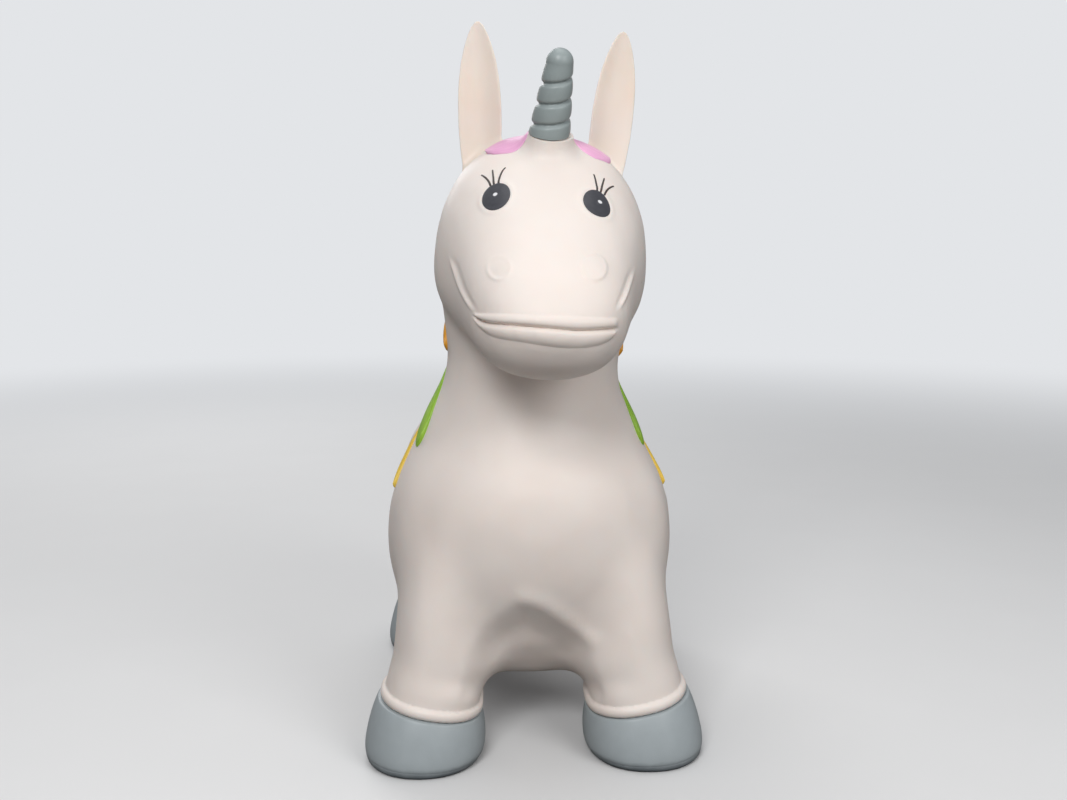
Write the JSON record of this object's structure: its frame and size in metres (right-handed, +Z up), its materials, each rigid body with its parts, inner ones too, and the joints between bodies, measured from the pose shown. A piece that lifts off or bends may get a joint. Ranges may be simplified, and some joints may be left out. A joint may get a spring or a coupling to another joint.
{
  "type": "bouncy ride-on animal",
  "caption": "Inflatable ride-on unicorn for a small child: a soft hollow body on moulded hooves, with ears to hold, a spiral horn, painted locks of mane and tail, and an air valve.",
  "frame": {"origin": "on the floor, under the middle of the object's box", "axes": "+Z up, the animal faces -Y, and its left side is at +X"},
  "size_m": [0.3004, 0.4932, 0.6371],
  "materials": {
    "skin_vinyl": "soft satin vinyl",
    "hoof_vinyl": "satin",
    "horn_vinyl": "semi-gloss",
    "pink_paint": "satin paint",
    "orange_paint": "satin paint",
    "green_paint": "satin paint",
    "yellow_paint": "satin paint",
    "eye_paint": "satin paint",
    "valve_plastic": "semi-gloss"
  },
  "bodies": {
    "hooves": {"hoof_front_left": "hoof_vinyl", "hoof_front_right": "hoof_vinyl", "hoof_rear_left": "hoof_vinyl", "hoof_rear_right": "hoof_vinyl", "valve_seat": "valve_plastic"},
    "animal": {"body_skin": "skin_vinyl", "ear_left": "skin_vinyl", "ear_right": "skin_vinyl", "horn": "horn_vinyl", "eye_left": "eye_paint", "eye_right": "eye_paint", "forelock_left": "pink_paint", "forelock_right": "pink_paint", "mane_rose_left": "pink_paint", "mane_rose_right": "pink_paint", "mane_pink_left": "pink_paint", "mane_pink_right": "pink_paint", "mane_orange_left": "orange_paint", "mane_orange_right": "orange_paint", "mane_green_left": "green_paint", "mane_green_right": "green_paint", "mane_yellow_left": "yellow_paint", "mane_yellow_right": "yellow_paint", "tail_pink": "pink_paint", "tail_orange": "orange_paint", "tail_green": "green_paint"},
    "plug": {"air_plug": "valve_plastic"}
  },
  "joints": [
    {"name": "bounce", "type": "slide", "parent": "hooves", "child": "animal", "axis": [0, 0, -1], "range_m": [0, 0.03], "stiffness_N_per_m": 6000, "springref_m": -0.0025, "deforming": ["body_skin"]},
    {"name": "plug_pull", "type": "slide", "parent": "hooves", "child": "plug", "axis": [0, 0, -1], "range_m": [0, 0.02]}
  ]
}
